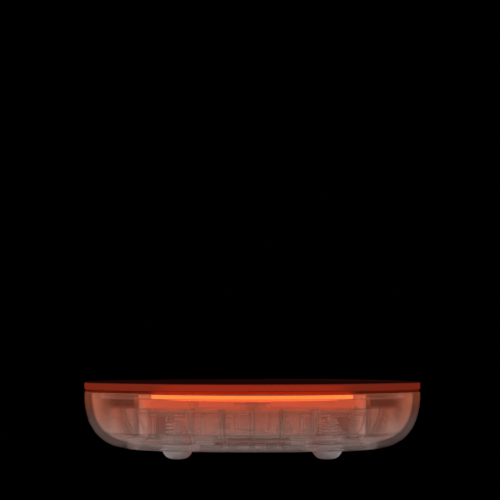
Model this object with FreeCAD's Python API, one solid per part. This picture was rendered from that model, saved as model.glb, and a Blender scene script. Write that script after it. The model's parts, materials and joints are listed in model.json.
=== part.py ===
import FreeCAD, Part
import math
import os

# Round electric mug warmer, in millimetres.
# The origin is under the middle of the object, on the surface that its feet stand on.
# +Z is up, the front is towards -Y, and the power inlet is at the back, towards +Y.

# Overall bowl
plate_radius = 60.0
plate_thickness = 2.6
plate_edge_round = 0.6
plate_lower_round = 0.3
rim_height = 23.5
seal_height = 0.9
shoulder_drop = 2.6
base_height = 2.8
flat_inset = 5.8
bowl_power = 2.7
bowl_draft = 0.08
bowl_steps = 12
shell_wall = 2.6
rim_round = 0.3
joint_gap = 0.2

# Base cover and its clips
cover_reach = 2.2
ledge_width = 2.6
ledge_height = 1.6
clip_count = 8
clip_first_angle = 22.5
clip_half_angle = 5.0
clip_thickness = 1.2
clip_hook = 1.0
clip_hook_height = 1.2
wide_vent_width = 3.9
narrow_vent_width = 1.8
wide_vent_offset = 3.0
narrow_vent_offset = 9.4
vent_half_length = 10.5

# Stiffening ring inside the shell
ring_reach = 10.2
ring_wall = 1.2
ring_drop = 5.5

# Moving platform
travel = 0.6
flange_clearance = 0.6
flange_height = 1.6
upstand_height = 1.4
upstand_width = 1.6
dish_radius = 42.2
dish_wall = 1.4
dish_depth = 8.0
skirt_floor_gap = 2.2
skirt_half_angle = 32.0
fin_thickness = 1.2
fin_reach = 4.8
fin_rise = 1.4
fin_belly_reach = 0.62
fin_belly_height = 0.42
fin_angles = (-30.0, -14.0, 0.0, 14.0, 30.0)
tube_radius = 6.6
tube_wall = 1.4
tube_rise = 2.6
tube_board_gap = 0.85

# Heating stack under the plate
spreader_thickness = 1.8
spreader_clearance = 0.6
heater_margin = 4.8
heater_thickness = 1.6
track_thickness = 0.4
track_width = 2.2
track_pitch = 4.6
track_turns = 5
track_margin = 4.5
track_gap_angle = 8.0
pad_thickness = 0.8
pad_clearance = 0.4
gasket_share = 0.54
terminal_offset = 3.0
terminal_width = 2.4
terminal_sheet = 0.5
terminal_foot = 3.0
terminal_drop = 6.2
fuse_radius = 1.5
fuse_length = 9.0
fuse_place = -21.0
fuse_strap = 0.4
fuse_strap_width = 4.0
sensor_radius = 2.4
sensor_length = 3.0
sensor_flange = 0.5
sensor_plug_length = 3.0
fit_gap = 0.1

# Feet, retaining screws and springs
foot_inset_x = 15.7
foot_inset_y = 18.2
foot_radius = 5.1
foot_flat_radius = 1.4
foot_dome_height = 2.4
foot_flange_width = 1.0
foot_flange_height = 0.7
foot_pocket_depth = 1.5
head_radius = 3.2
head_height = 1.5
head_clearance = 0.5
shoulder_radius = 2.0
shoulder_length = 3.6
thread_radius = 1.3
thread_length = 4.6
web_thickness = 1.0
web_lift = 0.8
web_hole_clearance = 0.3
post_radius = 2.8
cup_wall = 1.7
cup_depth = 2.6
spring_radius = 3.9
spring_wire = 0.7
spring_turns = 4.5
spring_side_clearance = 0.45
spring_bend = 0.85

# Snap legs that keep the platform down
leg_to_foot = 8.9
leg_thickness = 1.4
leg_width = 3.6
leg_clearance = 0.4
hook_reach = 1.4
hook_height = 1.2
hook_floor_gap = 0.8
catch_wall = 1.0
catch_height = 2.0
leg_slot_width = 4.2

# Circuit board and what is on it
board_left = -14.0
board_under_block = 0.6
board_leg_gap = 7.0
board_thickness = 1.05
board_lift = 2.6
tongue_overhang = 0.8
tongue_half_width = 7.0
standoff_radius = 2.2
standoff_inset = 3.0
board_screw_radius = 1.0
board_screw_head = 2.0
board_screw_head_height = 1.3
board_screw_depth = 2.1
block_length = 5.2
block_reach = 1.5
block_half_width = 6.0
block_clearance = 1.4
block_screw_radius = 1.5
block_screw_depth = 0.9
lead_radius = 0.5
lead_bend = 2.4
lead_stub = 0.5
lead_entry_drop = 1.0
switch_edge = 6.0
switch_half_size = 3.0
switch_share = 0.5
button_radius = 1.75
button_clearance = 0.08
button_height = 1.2
button_depth = 1.0
pusher_radius = 2.4
chip_x = 1.0
chip_edge = 5.5
chip_half_size = 3.5
chip_height = 0.8
chip_pin_count = 8
chip_pin_width = 0.35
chip_pin_reach = 1.0
transistor_end_gap = 10.0
transistor_y = -8.0
transistor_half_x = 3.2
transistor_half_y = 3.0
transistor_height = 2.2
transistor_tab = 1.4
transistor_tab_height = 0.6
transistor_leg_length = 2.2
transistor_leg_width = 0.7
capacitor_end_gap = 10.0
capacitor_edge = 8.0
capacitor_share = 0.43
capacitor_length = 8.0
capacitor_groove = 0.3
inductor_x = -10.6
inductor_y = 4.0
inductor_half_size = 2.8
inductor_height = 3.0
header_x = 3.5
header_edge = 4.0
header_half_x = 2.6
header_half_y = 1.8
header_height = 3.4
header_wall = 0.7
header_floor = 1.2
resistor_x = 8.5
resistor_edge = 2.0
resistor_end_gap = 9.5
resistor_count = 6
resistor_half_x = 0.5
resistor_half_y = 0.8
resistor_height = 0.45
small_capacitor_x = -9.0
small_capacitor_y = -8.5
small_capacitor_pitch = 3.0
small_capacitor_count = 3
small_capacitor_half_x = 0.9
small_capacitor_half_y = 0.6
small_capacitor_height = 0.8
sensor_wire_radius = 0.4
sensor_wire_offset = 1.1

# Power inlet at the back
inlet_height = 13.3
inlet_bore_radius = 4.0
inlet_wall = 1.4
inlet_setback = 8.6
jack_half_width = 4.5
jack_length = 8.4
jack_hole_radius = 2.8
jack_hole_depth = 7.0
jack_pin_radius = 1.0
jack_pin_length = 6.2
cradle_wall = 1.5
jack_room_gap = 0.3
inlet_lead_radius = 0.8
inlet_lead_offset = 2.2
inlet_lead_drop = 2.9

# Heights and radii that follow from the sizes above
plate_bottom = rim_height + seal_height
plate_top = plate_bottom + plate_thickness
shoulder_height = rim_height - shoulder_drop
ring_top = rim_height - ring_drop
floor_height = base_height + shell_wall
inner_rim_radius = plate_radius - shell_wall
cover_radius = dish_radius + cover_reach
flat_radius = cover_radius - flat_inset
ring_radius = dish_radius + ring_reach
flange_radius = inner_rim_radius - flange_clearance
flange_top = plate_bottom - upstand_height
flange_bottom = flange_top - flange_height
dish_inner_radius = dish_radius - dish_wall
heater_radius = dish_inner_radius - heater_margin
track_outer_radius = heater_radius - track_margin
gasket_room = flange_radius - upstand_width - dish_radius
gasket_inner_radius = dish_radius + gasket_room * (1 - gasket_share) / 2
gasket_outer_radius = gasket_inner_radius + gasket_room * gasket_share
foot_x = dish_radius - foot_inset_x
foot_y = dish_radius - foot_inset_y
leg_x = foot_x - leg_to_foot
leg_y = foot_y
dish_floor_top = plate_bottom - dish_depth
dish_floor_bottom = dish_floor_top - dish_wall
skirt_bottom = floor_height + skirt_floor_gap
fin_top = dish_floor_top + fin_rise
tube_top = dish_floor_top + tube_rise
spreader_bottom = plate_bottom - spreader_thickness
heater_bottom = spreader_bottom - heater_thickness
board_bottom = floor_height + board_lift
board_top = board_bottom + board_thickness
part_room = dish_floor_bottom - board_top
block_height = part_room - block_clearance
lead_entry = block_height - lead_entry_drop
switch_height = part_room * switch_share
capacitor_radius = part_room * capacitor_share
tube_bottom = board_top + tube_board_gap
tube_inner_radius = tube_radius - tube_wall
web_bottom = floor_height + web_lift - web_thickness
web_top = floor_height + web_lift
cup_inner_radius = spring_radius + spring_wire / 2 + spring_side_clearance
cup_outer_radius = cup_inner_radius + cup_wall
counterbore_radius = head_radius + head_clearance
foot_flange_radius = foot_radius + foot_flange_width
hook_bottom = floor_height + hook_floor_gap
hook_top = hook_bottom + hook_height
button_top = board_top + switch_height + button_height
terminal_x = heater_radius + fit_gap
block_right = terminal_x + block_reach
block_left = block_right - block_length
board_right = block_left + board_under_block
tongue_right = block_right + tongue_overhang
board_half_width = leg_y - board_leg_gap
standoff_left = board_left + standoff_inset
standoff_right = board_right - standoff_inset
standoff_y = board_half_width - standoff_inset
transistor_x = board_right - transistor_end_gap
transistor_legs_end = transistor_x - transistor_half_x - transistor_leg_length
chip_end = chip_x + chip_half_size + chip_pin_reach
switch_x = (chip_end + transistor_legs_end) / 2
switch_y = switch_edge - board_half_width
capacitor_x = board_right - capacitor_end_gap
resistor_pitch = (board_right - resistor_end_gap - resistor_x) / (resistor_count - 1)
chip_y = chip_edge - board_half_width
capacitor_y = board_half_width - capacitor_edge
header_y = board_half_width - header_edge
resistor_y = board_half_width - resistor_edge
inlet_front = plate_radius - inlet_setback
feet = {
    "front_left": (-foot_x, -foot_y),
    "front_right": (foot_x, -foot_y),
    "rear_left": (-foot_x, foot_y),
    "rear_right": (foot_x, foot_y),
}


# Basic shapes
def vector(x, y, z):
    return FreeCAD.Vector(x, y, z)


def disc(radius, low, high, x=0.0, y=0.0):
    return Part.makeCylinder(radius, high - low, vector(x, y, low))


def ring(inner, outer, low, high, x=0.0, y=0.0):
    return disc(outer, low, high, x, y).cut(disc(inner, low, high, x, y))


def block(x_low, x_high, y_low, y_high, z_low, z_high):
    size = (x_high - x_low, y_high - y_low, z_high - z_low)
    return Part.makeBox(*size, vector(x_low, y_low, z_low))


def centred_block(x, y, half_x, half_y, low, high):
    return block(x - half_x, x + half_x, y - half_y, y + half_y, low, high)


def rod(start, end, radius):
    run = end - start
    return Part.makeCylinder(radius, run.Length, start, run)


def joined(shapes):
    first, *rest = shapes
    return first.multiFuse(rest) if rest else first


def turned(edges):
    face = Part.Face(Part.Wire(edges))
    return face.revolve(vector(0, 0, 0), vector(0, 0, 1), 360)


def sector(inner, outer, low, high, centre_angle, half_angle):
    start = vector(inner, 0, low)
    end = vector(outer, 0, low)
    side = Part.makeLine(start, end)
    side.rotate(vector(0, 0, 0), vector(0, 0, 1), centre_angle - half_angle)
    face = side.revolve(vector(0, 0, 0), vector(0, 0, 1), 2 * half_angle)
    return face.extrude(vector(0, 0, high - low))


def at_angle(shape, angle):
    copy = shape.copy()
    copy.rotate(vector(0, 0, 0), vector(0, 0, 1), angle)
    return copy


def rounded(shape, radius, height):
    """Rounds the outermost circular edge of a turned shape at one height."""
    edges = [e for e in shape.Edges if abs(e.BoundBox.ZMin - height) < 1e-6
             and abs(e.BoundBox.ZMax - height) < 1e-6]
    outermost = max(edges, key=lambda e: e.BoundBox.XMax)
    return shape.makeFillet(radius, [outermost])


def save(node, *solids):
    shape = solids[0] if len(solids) == 1 else Part.makeCompound(list(solids))
    shape.exportStep(os.path.join("parts", node + ".step"))


# The bowl's outside is a drafted superellipse from the shoulder down to the flat base
def bowl_point(turn):
    drop = math.sin(turn) ** (2 / bowl_power)
    reach = math.cos(turn) ** (2 / bowl_power) * (1 - bowl_draft * drop)
    radius = flat_radius + (plate_radius - flat_radius) * reach
    height = shoulder_height - (shoulder_height - base_height) * drop
    return radius, height


def bowl_curve(inset):
    """The bowl's curve from the shoulder down, moved inwards by the inset."""
    points = []
    for step in range(bowl_steps + 1):
        turn = math.pi / 2 * step / bowl_steps
        radius, height = bowl_point(turn)
        if step == 0:
            normal = (-1.0, 0.0)
        elif step == bowl_steps:
            normal = (0.0, 1.0)
        else:
            before = bowl_point(turn - 0.001)
            after = bowl_point(turn + 0.001)
            run = (after[0] - before[0], after[1] - before[1])
            length = math.hypot(*run)
            normal = (run[1] / length, -run[0] / length)
        points.append(vector(radius + inset * normal[0], 0, height + inset * normal[1]))
    curve = Part.BSplineCurve()
    curve.interpolate(points)
    return curve.toShape(), points[0], points[-1]


def envelope():
    """The filled outside of the bowl, rim to base."""
    curve, top, bottom = bowl_curve(0.0)
    corners = [bottom, vector(0, 0, base_height), vector(0, 0, rim_height),
               vector(plate_radius, 0, rim_height), top]
    edges = [Part.makeLine(a, b) for a, b in zip(corners, corners[1:])]
    return turned([curve] + edges)


def cavity():
    """The empty space inside the bowl, up to its rim."""
    curve, top, bottom = bowl_curve(shell_wall)
    corners = [bottom, vector(0, 0, floor_height), vector(0, 0, rim_height),
               vector(inner_rim_radius, 0, rim_height), top]
    edges = [Part.makeLine(a, b) for a, b in zip(corners, corners[1:])]
    return turned([curve] + edges)


# Casing
def make_lower_shell(bowl, outside):
    opening = cover_radius + joint_gap
    shell = bowl.cut(disc(opening, 0, rim_height))
    ledge = ring(opening, opening + ledge_width, 0, floor_height + ledge_height)
    stiffener = ring(ring_radius - ring_wall, ring_radius, base_height, ring_top)
    jack_bottom = inlet_height - jack_half_width
    cradle_far = inlet_front + fit_gap
    cradles = []
    for side in (-1, 1):
        middle = side * (jack_half_width - cradle_wall / 2)
        cradles.append(block(middle - cradle_wall / 2, middle + cradle_wall / 2,
                             inlet_front - jack_length + 2 * cradle_wall, cradle_far,
                             0, jack_bottom))
    inside = [piece.common(outside) for piece in (ledge, stiffener, *cradles)]
    shell = joined([shell, *inside])
    hole_radius = inlet_bore_radius + inlet_wall + fit_gap
    way_in = block(-hole_radius, hole_radius, inlet_front - jack_length, inlet_front + fit_gap,
                   jack_bottom, rim_height)
    ring_slot = way_in.common(disc(ring_radius + fit_gap, 0, rim_height))
    start = vector(0, inlet_front - jack_length, inlet_height)
    hole = rod(start, vector(0, plate_radius + shell_wall, inlet_height), hole_radius)
    shell = shell.cut(ring_slot).cut(hole)
    return rounded(shell, rim_round, rim_height)


def make_base_cover(bowl):
    cover = bowl.common(disc(cover_radius, 0, floor_height))
    solids = [cover]
    for number in range(clip_count):
        solids.append(cover_clip(clip_first_angle + number * 360 / clip_count))
    for x, y in feet.values():
        solids.append(disc(cup_outer_radius, base_height + foot_flange_height,
                           web_top + cup_depth, x, y))
    for x, y in board_screw_places():
        solids.append(disc(standoff_radius, floor_height - shell_wall / 2, board_bottom, x, y))
    for x, y in leg_places():
        solids.append(catch_bridge(x, y))
    cover = joined(solids)
    cuts = []
    for x, y in feet.values():
        cuts.append(disc(foot_flange_radius + fit_gap, 0, base_height + foot_flange_height, x, y))
        cuts.append(disc(counterbore_radius, base_height, web_bottom, x, y))
        cuts.append(disc(shoulder_radius + web_hole_clearance, web_bottom, web_top, x, y))
        cuts.append(disc(cup_inner_radius, web_top, web_top + cup_depth, x, y))
    for x, y in board_screw_places():
        cuts.append(disc(board_screw_radius, board_bottom - board_screw_depth, board_bottom, x, y))
    for x, y in leg_places():
        cuts.append(leg_slot(x, y))
    for side in (-1, 1):
        for offset, width in ((wide_vent_offset, wide_vent_width),
                              (narrow_vent_offset, narrow_vent_width)):
            cuts.append(vent(side * offset, width))
    return cover.cut(cuts)


def cover_clip(angle):
    """A curved tongue on the cover's edge whose hook snaps over the shell's ledge."""
    hook_low = floor_height + ledge_height + fit_gap
    top = hook_low + clip_hook_height
    inner = cover_radius - clip_thickness
    outer = cover_radius - fit_gap / 2
    tip = cover_radius + clip_hook
    corners = [vector(inner, 0, floor_height - shell_wall / 2),
               vector(outer, 0, floor_height - shell_wall / 2), vector(outer, 0, hook_low),
               vector(tip, 0, hook_low), vector(tip, 0, hook_low + clip_hook_height / 3),
               vector(outer, 0, top), vector(inner, 0, top)]
    face = Part.Face(Part.makePolygon([*corners, corners[0]]))
    face.rotate(vector(0, 0, 0), vector(0, 0, 1), angle - clip_half_angle)
    return face.revolve(vector(0, 0, 0), vector(0, 0, 1), 2 * clip_half_angle)


def vent(x, width):
    straight = vent_half_length - width / 2
    slot = centred_block(x, 0, width / 2, straight, 0, floor_height)
    ends = [disc(width / 2, 0, floor_height, x, side * straight) for side in (-1, 1)]
    return joined([slot, *ends])


def board_screw_places():
    return [(x, y) for x in (standoff_left, standoff_right) for y in (-standoff_y, standoff_y)]


def leg_places():
    return [(side * leg_x, y) for side in (-1, 1) for y in (-leg_y, leg_y)]


def outward_block(x, y, near, far, half_width, low, high):
    """A block beside a leg, measured from the leg's middle towards the object's edge."""
    side = math.copysign(1.0, x)
    ends = sorted((x + side * near, x + side * far))
    return block(ends[0], ends[1], y - half_width, y + half_width, low, high)


def catch_bridge(x, y):
    """A bridge on the cover that a leg's hook rests under."""
    near = leg_thickness / 2 + leg_clearance
    far = leg_thickness / 2 + hook_reach + leg_clearance
    half_width = leg_width / 2 + leg_clearance
    top = hook_top + catch_height
    whole = outward_block(x, y, near, far, half_width + catch_wall,
                          floor_height - shell_wall / 2, top)
    room = outward_block(x, y, near, far, half_width, floor_height, hook_top)
    return whole.cut(room)


def leg_slot(x, y):
    near = leg_thickness / 2 + leg_clearance
    return outward_block(x, y, near, near + leg_slot_width - leg_thickness, leg_width / 2,
                         0, floor_height)


def make_foot(x, y):
    reach = foot_radius - foot_flat_radius
    bend = (reach ** 2 + foot_dome_height ** 2) / (2 * foot_dome_height)
    half_turn = math.asin(reach / bend) / 2
    middle = vector(foot_flat_radius + bend * math.sin(half_turn), 0,
                    bend * (1 - math.cos(half_turn)))
    flange_top = base_height + foot_flange_height
    pocket_low = flange_top - foot_pocket_depth
    dome_start = vector(foot_flat_radius, 0, 0)
    dome_end = vector(foot_radius, 0, foot_dome_height)
    corners = [dome_end, vector(foot_radius, 0, base_height),
               vector(foot_flange_radius, 0, base_height),
               vector(foot_flange_radius, 0, flange_top),
               vector(counterbore_radius, 0, flange_top),
               vector(counterbore_radius, 0, pocket_low),
               vector(0, 0, pocket_low), vector(0, 0, 0), dome_start]
    edges = [Part.makeLine(a, b) for a, b in zip(corners, corners[1:])]
    foot = turned([Part.Arc(dome_start, middle, dome_end).toShape(), *edges])
    foot.translate(vector(x, y, 0))
    return foot


# Moving platform
def make_warming_plate():
    plate = disc(plate_radius, plate_bottom, plate_top)
    plate = rounded(plate, plate_edge_round, plate_top)
    return rounded(plate, plate_lower_round, plate_bottom)


def make_heater_carrier():
    flange = ring(dish_radius, flange_radius, flange_bottom, flange_top)
    outer_stand = ring(flange_radius - upstand_width, flange_radius, flange_bottom, plate_bottom)
    dish = ring(dish_inner_radius, dish_radius, dish_floor_bottom, plate_bottom)
    floor = disc(dish_radius, dish_floor_bottom, dish_floor_top)
    tube = disc(tube_radius, tube_bottom, tube_top)
    solids = [flange, outer_stand, dish, floor, tube]
    for quarter in range(4):
        angle = 90.0 * quarter
        solids.append(sector(dish_inner_radius, dish_radius, skirt_bottom,
                             dish_floor_bottom, angle, skirt_half_angle))
        for fin_angle in fin_angles:
            over_jack = quarter == 1 and fin_angle == 0.0
            if not over_jack:
                solids.append(at_angle(fin(), angle + fin_angle))
    for x, y in feet.values():
        post_bottom = web_bottom - fit_gap + shoulder_length
        solids.append(disc(post_radius, post_bottom, dish_floor_top, x, y))
    for x, y in leg_places():
        solids.append(centred_block(x, y, leg_thickness / 2, leg_width / 2,
                                    hook_bottom, dish_floor_top))
        solids.append(hook(x, y))
    solids.append(disc(pusher_radius, button_top, dish_floor_top, switch_x, switch_y))
    carrier = joined(solids)
    cuts = [disc(tube_inner_radius, tube_bottom, tube_top), terminal_slot(dish_floor_bottom,
                                                                          dish_floor_top)]
    for x, y in feet.values():
        low = web_bottom - fit_gap + shoulder_length
        cuts.append(disc(thread_radius, low, low + thread_length, x, y))
    half_notch = inlet_lead_offset + 2 * inlet_lead_radius
    cuts.append(block(-half_notch, half_notch, 0, dish_radius, skirt_bottom,
                      inlet_height - inlet_lead_drop + 3 * inlet_lead_radius))
    notch_room = disc(dish_inner_radius - fit_gap, skirt_bottom, dish_floor_bottom)
    cuts[-1] = cuts[-1].cut(notch_room)
    cuts.append(jack_room(skirt_bottom))
    return carrier.cut(cuts)


def jack_room(low):
    """The space that the platform leaves around the jack, with its travel."""
    half_width = jack_half_width + jack_room_gap
    return block(-half_width, half_width, inlet_front - jack_length - jack_room_gap, inlet_front,
                 low, inlet_height + jack_half_width + travel + jack_room_gap)


def fin():
    """One curved gusset between the dish's wall and the skirt's lower edge."""
    inner = dish_radius - dish_wall / 2
    top = vector(dish_radius + fin_reach, 0, fin_top)
    foot = vector(dish_radius, 0, skirt_bottom)
    middle_height = skirt_bottom + fin_belly_height * (fin_top - skirt_bottom)
    middle = vector(dish_radius + fin_belly_reach * fin_reach, 0, middle_height)
    corners = [top, vector(inner, 0, fin_top), vector(inner, 0, skirt_bottom), foot]
    edges = [Part.makeLine(a, b) for a, b in zip(corners, corners[1:])]
    face = Part.Face(Part.Wire([*edges, Part.Arc(foot, middle, top).toShape()]))
    gusset = face.extrude(vector(0, fin_thickness, 0))
    gusset.translate(vector(0, -fin_thickness / 2, 0))
    return gusset


def hook(x, y):
    """The outward tooth at the foot of a snap leg, with a sloping lead-in."""
    side = math.copysign(1.0, x)
    root = x + side * leg_thickness / 2
    tip = root + side * hook_reach
    back = y - leg_width / 2
    corners = [vector(x, back, hook_bottom), vector(root, back, hook_bottom),
               vector(tip, back, hook_bottom + hook_height / 2), vector(tip, back, hook_top),
               vector(x, back, hook_top)]
    face = Part.Face(Part.makePolygon([*corners, corners[0]]))
    return face.extrude(vector(0, leg_width, 0))


def terminal_slot(low, high):
    half_width = terminal_offset + terminal_width
    far = terminal_x + terminal_sheet + lead_stub + lead_bend + 2 * lead_radius
    return block(terminal_x - terminal_sheet - fit_gap, far, -half_width, half_width, low, high)


def make_resistance_track():
    """Broken rings joined in series, with two pads that reach the terminals."""
    bars = []
    low = heater_bottom - track_thickness
    half_gap = track_gap_angle / 2
    for turn in range(track_turns):
        outer = track_outer_radius - turn * track_pitch
        bars.append(sector(outer - track_width, outer, low, heater_bottom,
                           180.0, 180.0 - half_gap))
        if turn + 1 < track_turns:
            side = 1 if turn % 2 == 0 else -1
            next_outer = outer - track_pitch
            bars.append(sector(next_outer - track_width, outer, low, heater_bottom,
                               side * (half_gap + 2.0), 2.0))
    innermost = track_outer_radius - (track_turns - 1) * track_pitch
    bars.append(sector(innermost - track_width, innermost, low, heater_bottom, 0.0, half_gap))
    pad_far = terminal_x - terminal_foot
    for side in (-1, 1):
        bars.append(centred_block((track_outer_radius - track_width + pad_far) / 2,
                                  side * terminal_offset,
                                  (pad_far - track_outer_radius + track_width) / 2,
                                  terminal_width / 3, low, heater_bottom))
    return joined(bars)


def make_terminal(y):
    far = terminal_x + terminal_sheet
    top = heater_bottom
    foot = block(terminal_x - terminal_foot, far, y - terminal_width / 2,
                 y + terminal_width / 2, top - terminal_sheet, top)
    tab = block(terminal_x, far, y - terminal_width / 2, y + terminal_width / 2,
                top - terminal_drop, top)
    return joined([foot, tab])


def make_heater_lead(y):
    """A short looped wire from a terminal tab down to the terminal block."""
    entry = board_top + lead_entry
    start = vector(terminal_x + terminal_sheet, y, entry + 2 * lead_bend)
    bend_x = terminal_x + terminal_sheet + lead_stub
    upper = vector(bend_x, y, start.z)
    side = vector(bend_x + lead_bend, y, entry + lead_bend)
    lower = vector(bend_x, y, entry)
    end = vector(block_right, y, entry)
    edges = [Part.makeLine(start, upper), Part.Arc(upper, side, lower).toShape()]
    if (lower - end).Length > 1e-6:
        edges.append(Part.makeLine(lower, end))
    return tube_along(edges, start, vector(1, 0, 0), lead_radius)


def tube_along(edges, start, direction, radius):
    circle = Part.Wire(Part.makeCircle(radius, start, direction))
    return Part.Wire(edges).makePipeShell([circle], True, False)


def make_platform_screw(x, y):
    head_top = web_bottom - fit_gap
    shoulder_top = head_top + shoulder_length
    head = disc(head_radius, head_top - head_height, head_top, x, y)
    cross = head_height / 3
    slots = [centred_block(x, y, head_radius * 0.6, cross / 2, head_top - head_height,
                           head_top - head_height + cross),
             centred_block(x, y, cross / 2, head_radius * 0.6, head_top - head_height,
                           head_top - head_height + cross)]
    shoulder = disc(shoulder_radius, head_top, shoulder_top, x, y)
    thread = disc(thread_radius, shoulder_top, shoulder_top + thread_length, x, y)
    return joined([head, shoulder, thread]).cut(slots)


# Springs
def biarc(start, start_run, end, end_run):
    """Two arcs that leave start along one direction and reach end along another."""
    gap = end - start
    bend = 2 * (1 - start_run.dot(end_run))
    across = gap.dot(start_run + end_run)
    if bend < 1e-9:
        reach = gap.dot(gap) / (2 * across)
    else:
        reach = (math.sqrt(across ** 2 + bend * gap.dot(gap)) - across) / bend
    middle = (start + start_run * reach + end - end_run * reach) * 0.5
    return [arc_from(start, start_run, middle), arc_from(end, end_run * -1, middle, True)]


def arc_from(start, run, end, backwards=False):
    chord = end - start
    ahead = chord * (1 / chord.Length)
    side = run - ahead * run.dot(ahead)
    side = side * (1 / side.Length)
    half_turn = math.acos(max(-1.0, min(1.0, run.dot(ahead))))
    middle = start + chord * 0.5 + side * (chord.Length / 2 * math.tan(half_turn / 2))
    ends = (end, start) if backwards else (start, end)
    return Part.Arc(ends[0], middle, ends[1]).toShape()


def spring_path(x, y, low, high):
    """A helix of quarter turns whose ends turn down and up to stand square on their seats."""
    coil_low = low + spring_wire + spring_bend
    coil_high = high - spring_wire - spring_bend
    rise = (coil_high - coil_low) / (2 * math.pi * spring_turns)
    slope = math.hypot(spring_radius, rise)

    def place(turn):
        height = coil_low + rise * turn
        point = vector(x + spring_radius * math.cos(turn), y + spring_radius * math.sin(turn), height)
        run = vector(-spring_radius * math.sin(turn) / slope,
                     spring_radius * math.cos(turn) / slope, rise / slope)
        return point, run

    up = vector(0, 0, 1)
    lead = spring_bend / spring_radius
    whole = 2 * math.pi * spring_turns
    foot = vector(x + spring_radius * math.cos(-lead), y + spring_radius * math.sin(-lead), low)
    head = vector(x + spring_radius * math.cos(whole + lead),
                  y + spring_radius * math.sin(whole + lead), high)
    edges = [Part.makeLine(foot, foot + up * spring_wire)]
    edges += biarc(foot + up * spring_wire, up, *place(0.0))
    quarters = round(4 * spring_turns)
    for number in range(quarters):
        start = place(whole * number / quarters)
        end = place(whole * (number + 1) / quarters)
        edges += biarc(*start, *end)
    edges += biarc(*place(whole), head - up * spring_wire, up)
    edges.append(Part.makeLine(head - up * spring_wire, head))
    return edges, foot


def least_gap(edges, wire):
    """The smallest clear distance between stretches of one tube that aren't neighbours."""
    points = []
    travelled = 0.0
    for edge in edges:
        steps = max(2, int(edge.Length / 0.25))
        for number in range(steps):
            spot = edge.valueAt(edge.FirstParameter
                                + (edge.LastParameter - edge.FirstParameter) * number / steps)
            points.append((travelled + edge.Length * number / steps, spot))
        travelled += edge.Length
    gap = math.inf
    for index, (here, spot) in enumerate(points):
        for there, other in points[index + 1:]:
            if there - here > 4 * wire:
                gap = min(gap, spot.distanceToPoint(other) - wire)
    return gap


# Power inlet
def make_inlet_collar(outside):
    start = vector(0, inlet_front, inlet_height)
    end = vector(0, plate_radius + shell_wall, inlet_height)
    sleeve = rod(start, end, inlet_bore_radius + inlet_wall).common(outside)
    return sleeve.cut(rod(start, end, inlet_bore_radius))


def make_inlet_jack():
    body = block(-jack_half_width, jack_half_width, inlet_front - jack_length, inlet_front,
                 inlet_height - jack_half_width, inlet_height + jack_half_width)
    hole = rod(vector(0, inlet_front - jack_hole_depth, inlet_height),
               vector(0, inlet_front, inlet_height), jack_hole_radius)
    leaf_room = block(-terminal_width / 2, terminal_width / 2, inlet_front - jack_hole_depth,
                      inlet_front, inlet_height - jack_hole_radius - 2 * terminal_sheet,
                      inlet_height)
    return body.cut(hole).cut(leaf_room)


def make_inlet_pin():
    low = inlet_front - jack_hole_depth
    pin = rod(vector(0, low, inlet_height), vector(0, low + jack_pin_length, inlet_height),
              jack_pin_radius)
    tip = max(pin.Edges, key=lambda e: e.BoundBox.YMin)
    return pin.makeChamfer(jack_pin_radius / 3, [tip])


def make_inlet_contact():
    top = inlet_height - jack_hole_radius - terminal_sheet
    return block(-terminal_width / 2, terminal_width / 2, inlet_front - jack_hole_depth,
                 inlet_front - 2 * terminal_sheet, top - terminal_sheet, top)


def make_inlet_lead(side):
    """A wire from the back of the jack to the board's rear edge."""
    x = side * inlet_lead_offset
    height = inlet_height - inlet_lead_drop
    start = vector(x, inlet_front - jack_length, height)
    landing = board_top + inlet_lead_radius
    end = vector(x, board_half_width - 2 * inlet_lead_radius, landing)
    drop = height - landing
    middle_y = (start.y + end.y) / 2
    upper = vector(x, middle_y + 2 * drop + inlet_lead_radius, height)
    lower = vector(x, middle_y - 2 * drop - inlet_lead_radius, landing)
    back = vector(0, -1, 0)
    edges = [Part.makeLine(start, upper), *biarc(upper, back, lower, back),
             Part.makeLine(lower, end)]
    return tube_along(edges, start, back, inlet_lead_radius)


# Parts on the circuit board
def make_circuit_board():
    plate = block(board_left, board_right, -board_half_width, board_half_width,
                  board_bottom, board_top)
    tongue = block(board_right - 1, tongue_right, -tongue_half_width, tongue_half_width,
                   board_bottom, board_top)
    board = joined([plate, tongue])
    holes = [disc(board_screw_radius + joint_gap, board_bottom, board_top, x, y)
             for x, y in board_screw_places()]
    return board.cut(holes)


def make_board_screw(x, y):
    head = disc(board_screw_head, board_top, board_top + board_screw_head_height, x, y)
    shank = disc(board_screw_radius, board_bottom - board_screw_depth, board_top, x, y)
    half_slot = board_screw_radius / 4
    slot = centred_block(x, y, board_screw_head, half_slot,
                         board_top + board_screw_head_height / 2,
                         board_top + board_screw_head_height)
    return joined([head, shank]).cut(slot)


def make_terminal_block():
    body = block(block_left, block_right, -block_half_width, block_half_width,
                 board_top, board_top + block_height)
    wells = [disc(block_screw_radius + fit_gap, board_top + block_height - 2 * block_screw_depth,
                  board_top + block_height, (block_left + block_right) / 2, side * terminal_offset)
             for side in (-1, 1)]
    return body.cut(wells)


def make_terminal_screw(side):
    low = board_top + block_height - 2 * block_screw_depth
    x = (block_left + block_right) / 2
    y = side * terminal_offset
    screw = disc(block_screw_radius, low, low + block_screw_depth, x, y)
    slot = centred_block(x, y, block_screw_radius, block_screw_radius / 5,
                         low + block_screw_depth / 2, low + block_screw_depth)
    return screw.cut(slot)


def make_gravity_switch():
    top = board_top + switch_height
    body = centred_block(switch_x, switch_y, switch_half_size, switch_half_size, board_top, top)
    bore = disc(button_radius + button_clearance, top - button_depth - travel - fit_gap, top,
                switch_x, switch_y)
    return body.cut(bore)


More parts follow.
